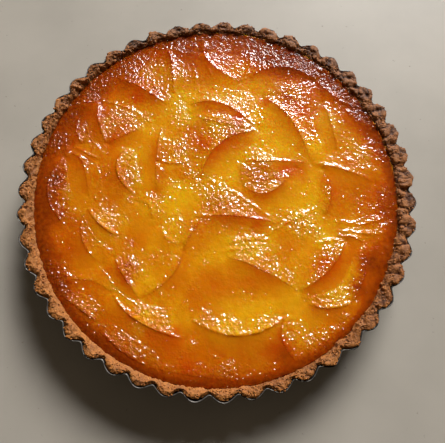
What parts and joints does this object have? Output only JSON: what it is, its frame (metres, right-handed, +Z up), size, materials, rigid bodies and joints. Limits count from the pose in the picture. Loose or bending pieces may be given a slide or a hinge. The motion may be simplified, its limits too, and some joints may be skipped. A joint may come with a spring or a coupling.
{
  "type": "bakewell tart",
  "caption": "Round glazed tart with folded amber filling in a crumbly fluted pastry case, baked in its own fluted metal tin.",
  "frame": {"origin": "middle of the tin's flat underside", "axes": "+Z up through the tart; -Y towards the viewer's side; +X to the viewer's right"},
  "size_m": [0.2499, 0.2498, 0.0298],
  "materials": {
    "tin": "dark bake-worn tinplate with bright wear on the cut edge",
    "pastry": "dry crumbly shortcrust, browner on the lobes, scorched in spots",
    "glaze": "wet amber glaze over translucent yellow filling, finely pebbled"
  },
  "bodies": {
    "root": {"tin": "tin", "crust": "pastry", "filling": "glaze"}
  },
  "joints": []
}
